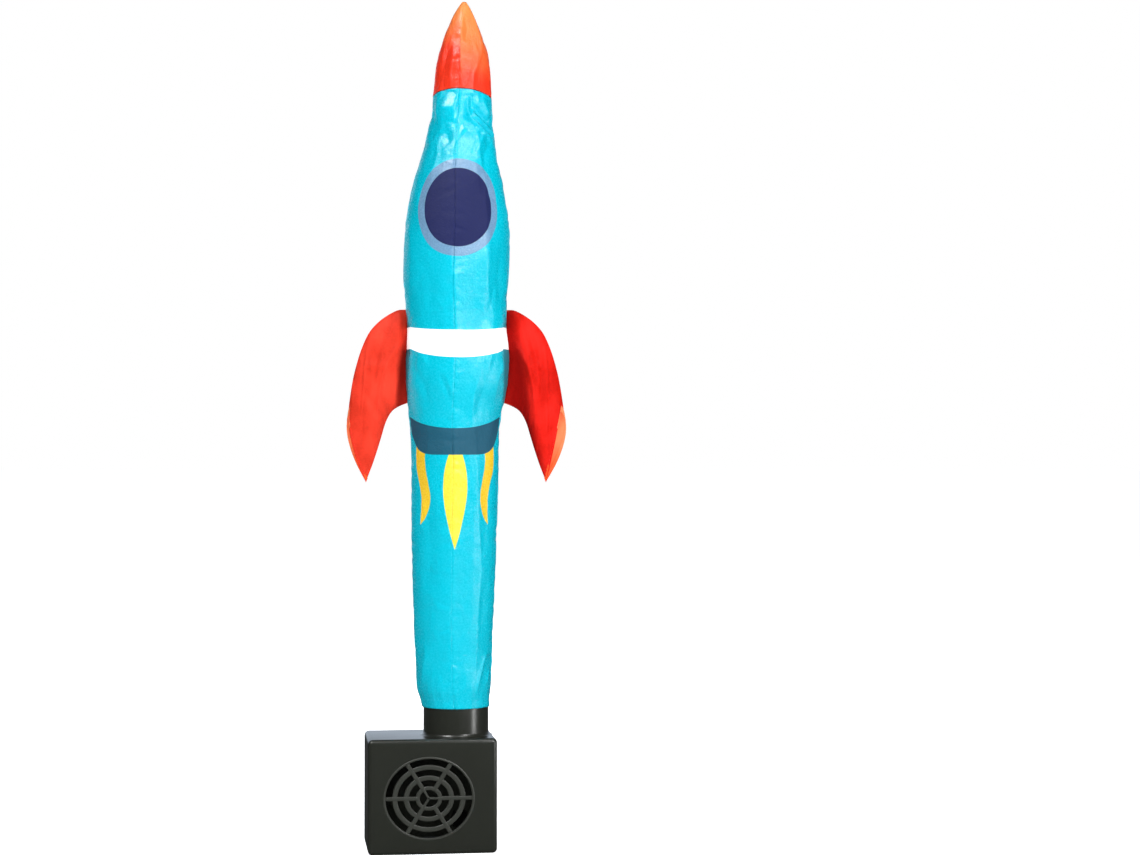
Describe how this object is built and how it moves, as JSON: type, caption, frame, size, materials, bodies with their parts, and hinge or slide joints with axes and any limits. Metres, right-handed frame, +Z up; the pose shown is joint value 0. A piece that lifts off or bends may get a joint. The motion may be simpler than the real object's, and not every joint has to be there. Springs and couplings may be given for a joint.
{
  "type": "inflatable air dancer",
  "caption": "Desktop air dancer: an upright rocket-shaped cloth tube with swept fins, held inflated by a small square blower it is pulled over.",
  "frame": {"origin": "on the table, on the flat underside of the blower housing, under the axis of its round air outlet", "axes": "+Z up along the inflated tube, front of the blower towards -Y, and +X to the right seen from the front"},
  "size_m": [0.1162, 0.0546, 0.45],
  "materials": {
    "housing_plastic": "satin charcoal plastic",
    "socket_plastic": "black plastic",
    "body_cloth": "light cyan nylon with a soft sheen",
    "nose_cloth": "light orange-red nylon with a soft sheen",
    "fin_cloth": "light red nylon with a soft sheen"
  },
  "bodies": {
    "root": {"blower_housing": "housing_plastic", "blower_cover": "housing_plastic", "power_inlet": "socket_plastic", "body_front_left": "body_cloth", "body_front_right": "body_cloth", "body_back_left": "body_cloth", "body_back_right": "body_cloth", "nose_front_left": "nose_cloth", "nose_front_right": "nose_cloth", "nose_back_left": "nose_cloth", "nose_back_right": "nose_cloth", "fin_left_front": "fin_cloth", "fin_left_back": "fin_cloth", "fin_right_front": "fin_cloth", "fin_right_back": "fin_cloth"}
  },
  "joints": []
}
